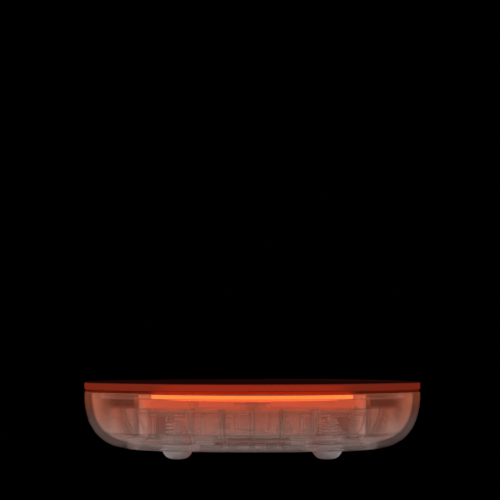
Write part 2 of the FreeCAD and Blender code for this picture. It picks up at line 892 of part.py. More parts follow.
def make_control_chip():
    body = centred_block(chip_x, chip_y, chip_half_size, chip_half_size,
                         board_top + chip_height / 6, board_top + chip_height)
    pins = []
    pitch = 2 * chip_half_size / (chip_pin_count + 1)
    for number in range(chip_pin_count):
        along = -chip_half_size + pitch * (number + 1)
        for side in (-1, 1):
            near = side * chip_half_size * 0.9
            far = side * (chip_half_size + chip_pin_reach)
            low, high = sorted((near, far))
            pins.append(block(chip_x + low, chip_x + high, chip_y + along - chip_pin_width / 2,
                              chip_y + along + chip_pin_width / 2, board_top,
                              board_top + chip_height / 3))
    return joined([body, *pins])


def make_transistor():
    body = centred_block(transistor_x, transistor_y, transistor_half_x, transistor_half_y,
                         board_top, board_top + transistor_height)
    tab_start = transistor_x + transistor_half_x
    tab_half_width = transistor_half_y - transistor_leg_width / 2
    tab = block(tab_start, tab_start + transistor_tab, transistor_y - tab_half_width,
                transistor_y + tab_half_width, board_top, board_top + transistor_tab_height)
    legs_end = transistor_x - transistor_half_x
    leg_offset = transistor_half_y - transistor_leg_width
    legs = [block(legs_end - transistor_leg_length, legs_end,
                  transistor_y + side * leg_offset - transistor_leg_width / 2,
                  transistor_y + side * leg_offset + transistor_leg_width / 2,
                  board_top, board_top + transistor_tab_height)
            for side in (-1, 1)]
    return joined([body, tab, *legs])


def make_capacitor():
    height = board_top + capacitor_radius
    start = vector(capacitor_x - capacitor_length / 2, capacitor_y, height)
    end = vector(capacitor_x + capacitor_length / 2, capacitor_y, height)
    can = rod(start, end, capacitor_radius)
    groove_start = start + vector(4 * capacitor_groove, 0, 0)
    groove_end = groove_start + vector(2 * capacitor_groove, 0, 0)
    groove = rod(groove_start, groove_end, capacitor_radius)
    core = rod(start, end, capacitor_radius - capacitor_groove)
    return can.cut(groove.cut(core))


def make_inductor():
    body = centred_block(inductor_x, inductor_y, inductor_half_size, inductor_half_size,
                         board_top, board_top + inductor_height)
    return body.makeChamfer(inductor_half_size / 5, [e for e in body.Edges
                                                     if abs(e.BoundBox.ZLength) > 1.0])


def make_chip_parts(places, half_x, half_y, height):
    return [centred_block(x, y, half_x, half_y, board_top, board_top + height)
            for x, y in places]


def make_sensor_header():
    top = board_top + header_height
    body = centred_block(header_x, header_y, header_half_x, header_half_y, board_top, top)
    room = centred_block(header_x, header_y, header_half_x - header_wall,
                         header_half_y - header_wall, board_top + header_floor, top)
    return body.cut(room)


def make_insulation_pad():
    top = dish_floor_top + pad_thickness
    outer = dish_inner_radius - pad_clearance
    pad = ring(tube_radius + pad_clearance, outer, dish_floor_top, top)
    slot = terminal_slot(dish_floor_top, top)
    mouth = slot.copy()
    mouth.translate(vector(outer - terminal_x, 0, 0))
    return pad.cut([slot, mouth, jack_room(dish_floor_bottom)])


# Heat sensing
def make_sensor_holder():
    plug = disc(tube_inner_radius, tube_top - sensor_plug_length, tube_top)
    flange = disc(tube_radius, tube_top, tube_top + sensor_flange)
    bore = disc(sensor_radius + fit_gap, tube_top - sensor_plug_length, tube_top + sensor_flange)
    return joined([plug, flange]).cut(bore)


def make_sensor_wire(side):
    sensor_bottom = heater_bottom - sensor_length
    return disc(sensor_wire_radius, board_top, sensor_bottom, side * sensor_wire_offset, 0.0)


def make_thermal_fuse():
    height = heater_bottom - track_thickness - fuse_radius
    return rod(vector(fuse_place, -fuse_length / 2, height),
               vector(fuse_place, fuse_length / 2, height), fuse_radius)


def make_fuse_clip():
    """A strap that wraps the fuse and is spot-welded to the heater on both sides."""
    height = heater_bottom - track_thickness - fuse_radius
    half_width = fuse_strap_width / 2
    outer = fuse_radius + fuse_strap
    strap = rod(vector(fuse_place, -half_width, height), vector(fuse_place, half_width, height), outer)
    cheeks = centred_block(fuse_place, 0, outer, half_width, height, height + fuse_radius)
    ears = centred_block(fuse_place, 0, outer + 2 * fuse_radius, half_width,
                         height + fuse_radius - fuse_strap, height + fuse_radius)
    clip = joined([strap, cheeks, ears])
    clip = clip.cut(rod(vector(fuse_place, -fuse_length, height),
                        vector(fuse_place, fuse_length, height), fuse_radius))
    above = centred_block(fuse_place, 0, 4 * outer, fuse_length, height + fuse_radius,
                          height + 4 * fuse_radius)
    throat = centred_block(fuse_place, 0, fuse_radius, fuse_length, height, height + fuse_radius)
    return clip.cut(above).cut(throat)


def build():
    os.makedirs("parts", exist_ok=True)
    outside = envelope()
    bowl = outside.cut(cavity())

    save("lower_shell", make_lower_shell(bowl, outside))
    save("base_cover", make_base_cover(bowl))
    save("rim_seal", ring(inner_rim_radius + joint_gap, plate_radius - 2 * joint_gap,
                          rim_height, plate_bottom))
    for name, (x, y) in feet.items():
        save("foot_" + name, make_foot(x, y))

    save("warming_plate", make_warming_plate())
    save("plate_gasket", ring(gasket_inner_radius, gasket_outer_radius, flange_top, plate_bottom))
    spreader_radius = dish_inner_radius - spreader_clearance
    save("heat_spreader", disc(spreader_radius, spreader_bottom, plate_bottom))
    save("heater_disc", disc(heater_radius, heater_bottom, spreader_bottom))
    save("resistance_track", make_resistance_track())
    save("heater_terminals", *[make_terminal(side * terminal_offset) for side in (-1, 1)])
    save("thermal_fuse", make_thermal_fuse())
    save("fuse_clip", make_fuse_clip())
    save("insulation_pad", make_insulation_pad())
    save("sensor_holder", make_sensor_holder())
    save("temperature_sensor", disc(sensor_radius, heater_bottom - sensor_length, heater_bottom))
    save("sensor_leads", *[make_sensor_wire(side) for side in (-1, 1)])
    save("heater_carrier", make_heater_carrier())
    save("platform_screws", *[make_platform_screw(x, y) for x, y in feet.values()])
    save("heater_leads", *[make_heater_lead(side * terminal_offset) for side in (-1, 1)])

    for name, (x, y) in feet.items():
        path, foot = spring_path(x, y, web_top, dish_floor_bottom)
        save("spring_" + name, tube_along(path, foot, vector(0, 0, 1), spring_wire / 2))
    print("least gap in a spring", round(least_gap(path, spring_wire), 3))
    print("bend radius of a heater lead", lead_bend)

    save("circuit_board", make_circuit_board())
    save("board_screws", *[make_board_screw(x, y) for x, y in board_screw_places()])
    save("terminal_block", make_terminal_block())
    save("terminal_screws", *[make_terminal_screw(side) for side in (-1, 1)])
    save("gravity_switch", make_gravity_switch())
    switch_top = board_top + switch_height
    save("switch_button", disc(button_radius, switch_top - button_depth, button_top,
                               switch_x, switch_y))
    save("control_chip", make_control_chip())
    save("power_transistor", make_transistor())
    save("storage_capacitor", make_capacitor())
    save("inductor", make_inductor())
    resistor_places = [(resistor_x + resistor_pitch * number, resistor_y)
                       for number in range(resistor_count)]
    save("chip_resistors", *make_chip_parts(resistor_places, resistor_half_x, resistor_half_y,
                                            resistor_height))
    small_places = [(small_capacitor_x, small_capacitor_y + small_capacitor_pitch * number)
                    for number in range(small_capacitor_count)]
    save("chip_capacitors", *make_chip_parts(small_places, small_capacitor_half_x,
                                             small_capacitor_half_y, small_capacitor_height))
    save("sensor_header", make_sensor_header())

    save("inlet_collar", make_inlet_collar(outside))
    save("inlet_jack", make_inlet_jack())
    save("inlet_pin", make_inlet_pin())
    save("inlet_contact", make_inlet_contact())
    save("inlet_leads", *[make_inlet_lead(side) for side in (-1, 1)])


build()
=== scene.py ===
# %% [markdown]
# # A translucent electric mug warmer
#
# The object is a shallow round bowl of smoky, see-through plastic. A dark red-brown plate
# closes it, and a heated disc glows orange right under that plate. Everything inside shows
# through the casing, so the finish of the inner pieces matters as much as the outer ones.
# The solids come in as a fixed frame. Here they get their finishes, and the small soldered
# and crimped details that are too fine for the frame are added.

# %% Load the frame
import json
import math

import bmesh
import bpy
from mathutils import Matrix, Vector


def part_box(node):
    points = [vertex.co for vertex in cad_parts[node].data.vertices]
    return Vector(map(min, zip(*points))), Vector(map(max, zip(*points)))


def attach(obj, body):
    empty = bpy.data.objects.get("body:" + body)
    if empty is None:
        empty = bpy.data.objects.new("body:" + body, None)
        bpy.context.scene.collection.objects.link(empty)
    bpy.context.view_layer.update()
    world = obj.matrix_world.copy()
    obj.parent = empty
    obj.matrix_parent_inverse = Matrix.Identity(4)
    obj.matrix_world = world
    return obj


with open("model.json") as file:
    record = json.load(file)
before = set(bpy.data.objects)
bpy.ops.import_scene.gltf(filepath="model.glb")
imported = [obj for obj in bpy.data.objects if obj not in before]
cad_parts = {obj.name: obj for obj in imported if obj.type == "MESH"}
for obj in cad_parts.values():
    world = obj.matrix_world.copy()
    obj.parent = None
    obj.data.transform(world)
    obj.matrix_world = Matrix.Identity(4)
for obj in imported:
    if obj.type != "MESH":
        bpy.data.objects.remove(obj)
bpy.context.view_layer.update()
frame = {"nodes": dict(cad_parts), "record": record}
plate_low, plate_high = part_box("warming_plate")
heater_low, heater_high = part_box("heater_disc")
board_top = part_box("circuit_board")[1][2]
plate_radius = (plate_high[0] - plate_low[0]) / 2
heater_radius = (heater_high[0] - heater_low[0]) / 2
print("plate radius", round(plate_radius, 4), "heater radius", round(heater_radius, 4))


# %% [markdown]
# ## Colours
#
# A colour is noted as it looks on a screen, from 0 to 255, because that is how it is read
# off a sample. Shaders work in linear light, so each one is converted on its way in. The
# alternative, writing linear values by hand, is shorter but nobody can picture them.

# %% Colour helper
def paint(red, green, blue):
    def linear(value):
        value = value / 255
        return value / 12.92 if value <= 0.04045 else ((value + 0.055) / 1.055) ** 2.4
    return (linear(red), linear(green), linear(blue), 1.0)


print("heater orange in linear light", [round(v, 3) for v in paint(255, 125, 50)])


# %% [markdown]
# ## Camera
#
# The object is seen from the side, almost level, from far away. A long lens from 2.4 m shows
# the plate's top as a thin ellipse. The object sits low in the frame, which a small lens
# shift does without tilting the camera, so upright edges stay upright.

# %% Camera
image_pixels = 500
millimetres_per_pixel = 0.3577
camera_distance = 2.41
camera_height = 0.0659
horizon_pixel = 273.0
centre_pixel = 252.3

camera_data = bpy.data.cameras.new("side_camera")
camera_data.sensor_width = 36.0
frame_width = image_pixels * millimetres_per_pixel / 1000
camera_data.lens = camera_data.sensor_width * camera_distance / frame_width
camera_data.shift_x = -(centre_pixel - image_pixels / 2) / image_pixels
camera_data.shift_y = (horizon_pixel - image_pixels / 2) / image_pixels
camera_data.clip_end = 50.0
camera = bpy.data.objects.new("side_camera", camera_data)
camera.location = (0.0, -camera_distance, camera_height)
camera.rotation_euler = (math.pi / 2, 0.0, 0.0)
bpy.context.collection.objects.link(camera)
bpy.context.scene.camera = camera
print("lens", round(camera_data.lens, 1), "mm")


# %% [markdown]
# ## Studio
#
# The room is black, so the casing's own pale smoke is what draws it. A plain world light, a
# broad soft sun and three soft boxes fall on the object, but to camera, mirror and glass rays
# the world is black. The floor is black to those rays as well, and pale only in the light it
# sends back up. The alternative, real black cloth and lamps alone, would leave the underside
# without any form.
# Many see-through walls stand behind each other, so the number of them that a ray may cross
# is raised, or the middle of the object would turn black.

# %% World and floor
transparent_walls = 64
backdrop_level = 0.0
light_level = 0.9
floor_radius = 30.0
floor_seen = (0.0, 0.0, 0.0, 1.0)
floor_bounce = (0.8, 0.79, 0.78, 1.0)

bpy.context.scene.view_settings.view_transform = "Standard"
bpy.context.scene.cycles.transparent_max_bounces = transparent_walls

world = bpy.data.worlds.new("studio")
bpy.context.scene.world = world
world.use_nodes = True
world_nodes = world.node_tree.nodes
world_nodes.clear()
world_links = world.node_tree.links
sky_seen = world_nodes.new("ShaderNodeBackground")
sky_seen.inputs["Color"].default_value = (1.0, 0.985, 0.97, 1.0)
sky_seen.inputs["Strength"].default_value = backdrop_level
sky_light = world_nodes.new("ShaderNodeBackground")
sky_light.inputs["Color"].default_value = (0.97, 0.98, 1.0, 1.0)
sky_light.inputs["Strength"].default_value = light_level
path = world_nodes.new("ShaderNodeLightPath")
seen_or_mirrored = world_nodes.new("ShaderNodeMath")
seen_or_mirrored.operation = "MAXIMUM"
seen_at_all = world_nodes.new("ShaderNodeMath")
seen_at_all.operation = "MAXIMUM"
pick = world_nodes.new("ShaderNodeMixShader")
world_out = world_nodes.new("ShaderNodeOutputWorld")
world_links.new(path.outputs["Is Camera Ray"], seen_or_mirrored.inputs[0])
world_links.new(path.outputs["Is Glossy Ray"], seen_or_mirrored.inputs[1])
world_links.new(seen_or_mirrored.outputs[0], seen_at_all.inputs[0])
world_links.new(path.outputs["Is Transmission Ray"], seen_at_all.inputs[1])
world_links.new(seen_at_all.outputs[0], pick.inputs[0])
world_links.new(sky_light.outputs[0], pick.inputs[1])
world_links.new(sky_seen.outputs[0], pick.inputs[2])
world_links.new(pick.outputs[0], world_out.inputs["Surface"])

floor_mesh = bpy.data.meshes.new("floor")
floor_form = bmesh.new()
bmesh.ops.create_circle(floor_form, cap_ends=True, segments=64, radius=floor_radius)
floor_form.to_mesh(floor_mesh)
floor_form.free()
floor = bpy.data.objects.new("floor", floor_mesh)
bpy.context.collection.objects.link(floor)
floor_material = bpy.data.materials.new("black_floor")
floor_material.use_nodes = True
floor_shader = floor_material.node_tree.nodes["Principled BSDF"]
floor_path = floor_material.node_tree.nodes.new("ShaderNodeLightPath")
floor_tone = floor_material.node_tree.nodes.new("ShaderNodeMix")
floor_tone.data_type = "RGBA"
floor_tone.inputs[6].default_value = floor_seen
floor_tone.inputs[7].default_value = floor_bounce
floor_material.node_tree.links.new(floor_path.outputs["Is Diffuse Ray"],
                                   floor_tone.inputs["Factor"])
floor_material.node_tree.links.new(floor_tone.outputs[2], floor_shader.inputs["Base Color"])
floor_shader.inputs["Roughness"].default_value = 0.85
floor_shader.inputs["Specular IOR Level"].default_value = 0.0
floor_mesh.materials.append(floor_material)


# %% Lamps
sun_energy = 0.9
sun_spread = math.radians(50)
sun_place = (-0.9, -1.2, 2.0)
lamp_target = (0.0, 0.0, 0.015)
# Each box has a name, a place, a width, a height and an energy.
soft_boxes = (("left_box", (-0.75, -0.55, 0.5), 0.35, 0.7, 2.2),
              ("right_box", (0.8, -0.35, 0.42), 0.3, 0.7, 1.4),
              ("back_box", (0.1, 0.9, 0.6), 0.9, 0.25, 2.0))


def aim(lamp, place, target):
    lamp.location = place
    lamp.rotation_euler = (Vector(target) - Vector(place)).to_track_quat("-Z", "Y").to_euler()
    lamp.visible_camera = False
    bpy.context.collection.objects.link(lamp)


sun_data = bpy.data.lights.new("soft_sun", "SUN")
sun_data.energy = sun_energy
sun_data.angle = sun_spread
aim(bpy.data.objects.new("soft_sun", sun_data), sun_place, (0.0, 0.0, 0.0))
for name, place, width, height, energy in soft_boxes:
    box_data = bpy.data.lights.new(name, "AREA")
    box_data.shape = "RECTANGLE"
    box_data.size = width
    box_data.size_y = height
    box_data.energy = energy
    aim(bpy.data.objects.new(name, box_data), place, lamp_target)
print("studio ready")


# %% [markdown]
# ## Smooth shading
#
# The frame's meshes are loose triangles. Welded and shaded smooth up to an angle, their
# turned walls read as one curve and their corners stay crisp. A modifier does it, so that
# the meshes themselves stay as they came.

# %% Smooth-by-angle modifier
crease_angle = math.radians(25)
weld_distance = 1e-6


def smooth_by_angle_tree():
    tree = bpy.data.node_groups.new("smooth_by_angle", "GeometryNodeTree")
    tree.interface.new_socket("Geometry", in_out="INPUT", socket_type="NodeSocketGeometry")
    tree.interface.new_socket("Geometry", in_out="OUTPUT", socket_type="NodeSocketGeometry")
    source = tree.nodes.new("NodeGroupInput")
    result = tree.nodes.new("NodeGroupOutput")
    weld = tree.nodes.new("GeometryNodeMergeByDistance")
    weld.inputs["Distance"].default_value = weld_distance
    faces = tree.nodes.new("GeometryNodeSetShadeSmooth")
    faces.domain = "FACE"
    angle = tree.nodes.new("GeometryNodeInputMeshEdgeAngle")
    sharp = tree.nodes.new("FunctionNodeCompare")
    sharp.data_type = "FLOAT"
    sharp.operation = "GREATER_THAN"
    sharp.inputs["B"].default_value = crease_angle
    edges = tree.nodes.new("GeometryNodeSetShadeSmooth")
    edges.domain = "EDGE"
    edges.inputs["Shade Smooth"].default_value = False
    tree.links.new(source.outputs["Geometry"], weld.inputs["Geometry"])
    tree.links.new(weld.outputs["Geometry"], faces.inputs["Geometry"])
    tree.links.new(faces.outputs["Geometry"], edges.inputs["Geometry"])
    tree.links.new(angle.outputs["Unsigned Angle"], sharp.inputs["A"])
    tree.links.new(sharp.outputs["Result"], edges.inputs["Selection"])
    tree.links.new(edges.outputs["Geometry"], result.inputs["Geometry"])
    return tree


smoothing = smooth_by_angle_tree()
for node, solid in frame["nodes"].items():
    modifier = solid.modifiers.new("smooth_by_angle", "NODES")
    modifier.node_group = smoothing
print("smoothed", len(frame["nodes"]), "solids")


# %% [markdown]
# ## Shared effects
#
# Two effects come back in many finishes: the fine grain of a moulded or rubbed surface, and
# the warm light that the heater spreads through the plastic around it, painted on as a red tint
# in the colour and a glow of the plastic's own. Each is one node group with named inputs, so a
# finish states only its own amounts.

# %% Node helpers
def new_group(name, inputs, outputs):
    tree = bpy.data.node_groups.new(name, "ShaderNodeTree")
    for label, kind, value in inputs:
        socket = tree.interface.new_socket(label, in_out="INPUT", socket_type=kind)
        socket.default_value = value
    for label, kind in outputs:
        tree.interface.new_socket(label, in_out="OUTPUT", socket_type=kind)
    return tree, tree.nodes.new("NodeGroupInput"), tree.nodes.new("NodeGroupOutput")


def put(tree, socket, value):
    """A number or a colour is set on the socket, and another node's output is linked."""
    if isinstance(value, (int, float, tuple)):
        socket.default_value = value
    else:
        tree.links.new(value, socket)


def math_node(tree, operation, *values, clamp=False):
    node = tree.nodes.new("ShaderNodeMath")
    node.operation = operation
    node.use_clamp = clamp
    for socket, value in zip(node.inputs, values):
        put(tree, socket, value)
    return node.outputs[0]


def dot_product(tree, first, second):
    node = tree.nodes.new("ShaderNodeVectorMath")
    node.operation = "DOT_PRODUCT"
    tree.links.new(first, node.inputs[0])
    tree.links.new(second, node.inputs[1])
    return node.outputs["Value"]


def split_axes(tree, vector):
    node = tree.nodes.new("ShaderNodeSeparateXYZ")
    tree.links.new(vector, node.inputs[0])
    return node


def blend_colours(tree, factor, first, second):
    node = tree.nodes.new("ShaderNodeMix")
    node.data_type = "RGBA"
    put(tree, node.inputs["Factor"], factor)
    put(tree, node.inputs[6], first)
    put(tree, node.inputs[7], second)
    return node.outputs[2]


def spread(tree, value, from_low, from_high, to_low, to_high):
    """The value's stretch from one number to another, eased onto a stretch of results."""
    node = tree.nodes.new("ShaderNodeMapRange")
    node.interpolation_type = "SMOOTHSTEP"
    tree.links.new(value, node.inputs["Value"])
    for label, number in (("From Min", from_low), ("From Max", from_high),
                          ("To Min", to_low), ("To Max", to_high)):
        put(tree, node.inputs[label], number)
    return node.outputs["Result"]


# %% Grain of moulded and rubbed surfaces
cloud_scale = 0.06
cloud_share = 0.6


def make_grain_group():
    colour, number = "NodeSocketColor", "NodeSocketFloat"
    tree, given, result = new_group(
        "surface_grain",
        [("Vector", "NodeSocketVector", (0.0, 0.0, 0.0)), ("Scale", number, 900.0),
         ("Light Tone", colour, (0.5, 0.5, 0.5, 1.0)), ("Dark Tone", colour, (0.4, 0.4, 0.4, 1.0)),
         ("Smoothest", number, 0.2), ("Roughest", number, 0.35)],
        [("Color", colour), ("Roughness", number), ("Height", number)])
    clouds = tree.nodes.new("ShaderNodeTexNoise")
    clouds.inputs["Detail"].default_value = 3.0
    clouds_scale = math_node(tree, "MULTIPLY", given.outputs["Scale"], cloud_scale)
    fine = tree.nodes.new("ShaderNodeTexNoise")
    fine.inputs["Detail"].default_value = 2.0
    tree.links.new(given.outputs["Vector"], clouds.inputs["Vector"])
    tree.links.new(given.outputs["Vector"], fine.inputs["Vector"])
    tree.links.new(clouds_scale, clouds.inputs["Scale"])
    tree.links.new(given.outputs["Scale"], fine.inputs["Scale"])
    tone = spread(tree, clouds.outputs["Fac"], 0.35, 0.65, 0.0, 1.0)
    shade = blend_colours(tree, tone, given.outputs["Dark Tone"], given.outputs["Light Tone"])
    fine_share = math_node(tree, "MULTIPLY", fine.outputs["Fac"], 1.0 - cloud_share)
    both = math_node(tree, "MULTIPLY_ADD", clouds.outputs["Fac"], cloud_share, fine_share)
    rough = spread(tree, both, 0.35, 0.65, given.outputs["Smoothest"], given.outputs["Roughest"])
    tree.links.new(shade, result.inputs["Color"])
    tree.links.new(rough, result.inputs["Roughness"])
    tree.links.new(fine.outputs["Fac"], result.inputs["Height"])
    return tree


grain_group = make_grain_group()
print("effect", grain_group.name)


# %% Painted heater light in the plastic around the heater
glow_full = heater_radius * 0.95
glow_faded = plate_radius * 0.9
glow_left = 0.2


def distance_from_axis(tree, split):
    across, along = split.outputs["X"], split.outputs["Y"]
    squares = math_node(tree, "MULTIPLY_ADD", across, across,
                        math_node(tree, "MULTIPLY", along, along))
    return math_node(tree, "SQRT", squares)


def make_heater_light_group():
    """How far the heater's light is painted into the plastic as a tint, and how far as a glow of
    its own.
    """
    number = "NodeSocketFloat"
    tree, given, result = new_group(
        "painted_heater_light",
        [("Vector", "NodeSocketVector", (0.0, 0.0, 0.0)),
         ("Tint Low", number, 0.002), ("Tint High", number, 0.0185),
         ("Glow Low", number, 0.016), ("Glow High", number, 0.0222)],
        [("Tint", number), ("Glow", number)])
    split = split_axes(tree, given.outputs["Vector"])
    height = split.outputs["Z"]
    tint = spread(tree, height, given.outputs["Tint Low"], given.outputs["Tint High"], 0.0, 1.0)
    rise = spread(tree, height, given.outputs["Glow Low"], given.outputs["Glow High"], 0.0, 1.0)
    near = spread(tree, distance_from_axis(tree, split), glow_full, glow_faded, 1.0, glow_left)
    tree.links.new(tint, result.inputs["Tint"])
    tree.links.new(math_node(tree, "MULTIPLY", rise, near), result.inputs["Glow"])
    return tree


heater_light_group = make_heater_light_group()
print("effect", heater_light_group.name)


# %% [markdown]
# ## Finishes
#
# Each finish starts from the same bench: one Principled shader, the piece's own coordinates,
# and the grain effect that drives its colour, gloss and fine relief. The bench also makes the
# masks that tell a wall seen face on from one seen along its length, a near wall from a far
# one, and a sharp edge from a plain face.

# %% Bench for a finish
finishes = {}
black = (0.0, 0.0, 0.0, 1.0)
side_tolerance = 1e-5
# A wall is upright up to the first of these shares of up, and lies flat from the second.
flat_from, flat_full = 0.93, 0.995
# A point is on an edge below the first agreement of its two normals, and off it from the
# second.
edge_full, edge_gone = 0.9, 0.995


class Bench:
    """One material in the making, with its shader and the piece's own coordinates."""

    def __init__(self, name):
        self.material = bpy.data.materials.new(name)
        self.material.use_nodes = True
        self.tree = self.material.node_tree
        self.shader = self.tree.nodes["Principled BSDF"]
        self.place = self.tree.nodes.new("ShaderNodeTexCoord").outputs["Object"]
        finishes[name] = self.material

    def effect(self, group, **values):
        node = self.tree.nodes.new("ShaderNodeGroup")
        node.node_tree = group
        self.tree.links.new(self.place, node.inputs["Vector"])
        for label, value in values.items():
            node.inputs[label.replace("_", " ")].default_value = value
        return node

    def feed(self, label, value):
        self.tree.links.new(value, self.shader.inputs[label])

    def set(self, **values):
        for label, value in values.items():
            self.shader.inputs[label.replace("_", " ")].default_value = value

    def facing(self):
        return self.tree.nodes.new("ShaderNodeLayerWeight").outputs["Facing"]

    def dimmed(self, colour, share):
        scale = self.tree.nodes.new("ShaderNodeVectorMath")
        scale.operation = "SCALE"
        self.tree.links.new(colour, scale.inputs[0])
        self.tree.links.new(share, scale.inputs["Scale"])
        return scale.outputs[0]

    def walls(self):
        """Masks of the walls that look away from the axis, of the far walls' inner sides,
        and of everything that doesn't lie flat.

        The normal is flipped on a back face, so it is turned again before it is compared."""
        flat = self.tree.nodes.new("ShaderNodeVectorMath")
        flat.operation = "MULTIPLY"
        flat.inputs[1].default_value = (1.0, 1.0, 0.0)
        self.tree.links.new(self.place, flat.inputs[0])
        seen = self.tree.nodes.new("ShaderNodeNewGeometry")
        along = dot_product(self.tree, flat.outputs[0], seen.outputs["True Normal"])
        turned = math_node(self.tree, "MULTIPLY_ADD", seen.outputs["Backfacing"], -2.0, 1.0)
        outward = math_node(self.tree, "MULTIPLY", along, turned)
        outer = math_node(self.tree, "GREATER_THAN", outward, -side_tolerance)
        near = math_node(self.tree, "MAXIMUM", outer, seen.outputs["Backfacing"])
        far = math_node(self.tree, "SUBTRACT", 1.0, near)
        split = split_axes(self.tree, seen.outputs["True Normal"])
        upness = math_node(self.tree, "ABSOLUTE", split.outputs["Z"])
        return outer, far, spread(self.tree, upness, flat_from, flat_full, 1.0, 0.0)

    def creases(self, width):
        """A mask of thin lines along the piece's own sharp edges."""
        rounded = self.tree.nodes.new("ShaderNodeBevel")
        rounded.samples = 8
        rounded.inputs["Radius"].default_value = width
        flat = self.tree.nodes.new("ShaderNodeNewGeometry")
        alike = dot_product(self.tree, rounded.outputs["Normal"], flat.outputs["Normal"])
        return spread(self.tree, alike, edge_full, edge_gone, 1.0, 0.0)

    def relief(self, height, distance):
        bump = self.tree.nodes.new("ShaderNodeBump")
        bump.inputs["Distance"].default_value = distance
        bump.inputs["Strength"].default_value = 1.0
        self.tree.links.new(height, bump.inputs["Height"])
        self.feed("Normal", bump.outputs["Normal"])

    def grained(self, light, dark, smoothest, roughest, scale=900.0, depth=0.00001):
        grain = self.effect(grain_group, Light_Tone=light, Dark_Tone=dark,
                            Smoothest=smoothest, Roughest=roughest, Scale=scale)
        self.feed("Base Color", grain.outputs["Color"])
        self.feed("Roughness", grain.outputs["Roughness"])
        self.relief(grain.outputs["Height"], depth)
        return grain


# %% [markdown]
# ### Smoky casing
#
# The casing, its cover and the carrier inside are tinted clear plastic. Real refraction in
# thin nested walls only muddies what stands behind them, so each wall is a thin film of
# smoke. It lets most of the view through face on, and turns denser and darker where it is
# seen along its length, as a thin tinted wall does. The near walls stay clear, and the far
# walls' inner sides carry most of the haze, so that the pieces between them stand out against
# it. Faces that lie flat stay clear too, because from the side all of them are seen along
# their length. Sharp edges get thin dark lines of painted shade. Low down the smoke is grey.
# Towards the heater the heater's light is painted in as a red tint, and right beside it as a
# glow of the plastic's own.

# %% Smoky plastics
band_start = 0.66
band_end = 0.74
band_greyness = 4.0
haze_start = 0.45
haze_full = 0.9
edge_shade_width = 0.0007
edge_shade_darkness = 0.85
glow_darkness = 0.4


def smoky_plastic(name, light, dark, heater_lit, clear, closed, haze, glow, edge_share, edge_shade):
    """A film of smoke. Clear, closed, haze and edge shade are shares of what the wall hides: face
    on, seen along its length, added on the far side, and added on a sharp edge, where a thin
    dark line of painted shade goes. Edge share is how much of its brightness an outer wall keeps
    where it is seen along its length. Heater lit is the colour painted in where the heater's light
    falls. Glow is the strength of the painted glow of its own beside the heater."""
    bench = Bench(name)
    grain = bench.grained(light, dark, 0.14, 0.26, scale=160.0, depth=0.000002)
    heater_light = bench.effect(heater_light_group)
    outer_wall, far_wall, upright = bench.walls()
    facing = math_node(bench.tree, "MULTIPLY", bench.facing(), upright)
    in_band = spread(bench.tree, facing, band_start, band_end, 0.0, 1.0)
    edge_on = math_node(bench.tree, "MULTIPLY", outer_wall, in_band)
    steepness = math_node(bench.tree, "MULTIPLY_ADD", edge_on, band_greyness, 1.0)
    # Painted heater light: towards the heater the colour is blended into the heater-lit colour.
    tint = math_node(bench.tree, "POWER", heater_light.outputs["Tint"], steepness)
    tinted = blend_colours(bench.tree, tint, grain.outputs["Color"], heater_lit)
    # Painted shade: thin dark lines along sharp edges, darker in colour and denser.
    crease = bench.creases(edge_shade_width)
    band_light = math_node(bench.tree, "MULTIPLY_ADD", edge_on, edge_share - 1.0, 1.0)
    edge_shade_left = math_node(bench.tree, "MULTIPLY_ADD", crease, -edge_shade_darkness, 1.0)
    # Painted heater light: beside the heater the colour is dimmed and the plastic gets a glow of
    # its own.
    glow_light = math_node(bench.tree, "MULTIPLY_ADD", heater_light.outputs["Glow"],
                           -glow_darkness, 1.0)
    light_kept = math_node(bench.tree, "MULTIPLY", band_light, edge_shade_left)
    light_kept = math_node(bench.tree, "MULTIPLY", light_kept, glow_light)
    bench.feed("Base Color", bench.dimmed(tinted, light_kept))
    bench.feed("Emission Color", blend_colours(bench.tree, heater_light.outputs["Glow"],
                                               black, paint(255, 104, 40)))
    density = spread(bench.tree, facing, haze_start, haze_full, clear, closed)
    dusty = math_node(bench.tree, "MULTIPLY_ADD", far_wall, haze, density)
    bench.feed("Alpha", math_node(bench.tree, "MULTIPLY_ADD", crease, edge_shade, dusty, clamp=True))
    bench.set(Emission_Strength=glow, IOR=1.49, Specular_IOR_Level=0.35)


smoky_plastic("shell_smoke", paint(200, 180, 172), paint(186, 166, 158), paint(198, 124, 98),
              clear=0.06, closed=0.52, haze=0.15, glow=0.45, edge_share=0.44, edge_shade=0.2)
smoky_plastic("cover_smoke", paint(228, 222, 220), paint(214, 208, 205), paint(214, 164, 144),
              clear=0.16, closed=0.6, haze=0.42, glow=0.3, edge_share=0.3, edge_shade=0.7)
smoky_plastic("carrier_smoke", paint(238, 220, 212), paint(226, 208, 198), paint(232, 176, 152),
              clear=0.12, closed=0.8, haze=0.5, glow=0.35, edge_share=0.12, edge_shade=0.8)
print("smoky plastics ready")


# %% [markdown]
# ### Warming plate
#
# A dark red-brown glass ceramic. Seen from above it has a faint painted glow over the heated
# disc, the heater's light painted on as the plate's own. Seen along its surface its colour is
# painted nearly black, a painted dark reflection that stands in for its mirror shine. The edge
# is red-brown, and its painted glow is redder where the disc lies straight behind it. Its
# mirror shine is turned off: seen so flat, the plate would show nothing but the lamps in it
# and turn grey.

# %% Plate
top_starts = plate_high[2] - 0.00045
top_full = plate_high[2] - 0.0001
disc_edge_start = heater_radius * 0.8
disc_edge_end = heater_radius * 1.1


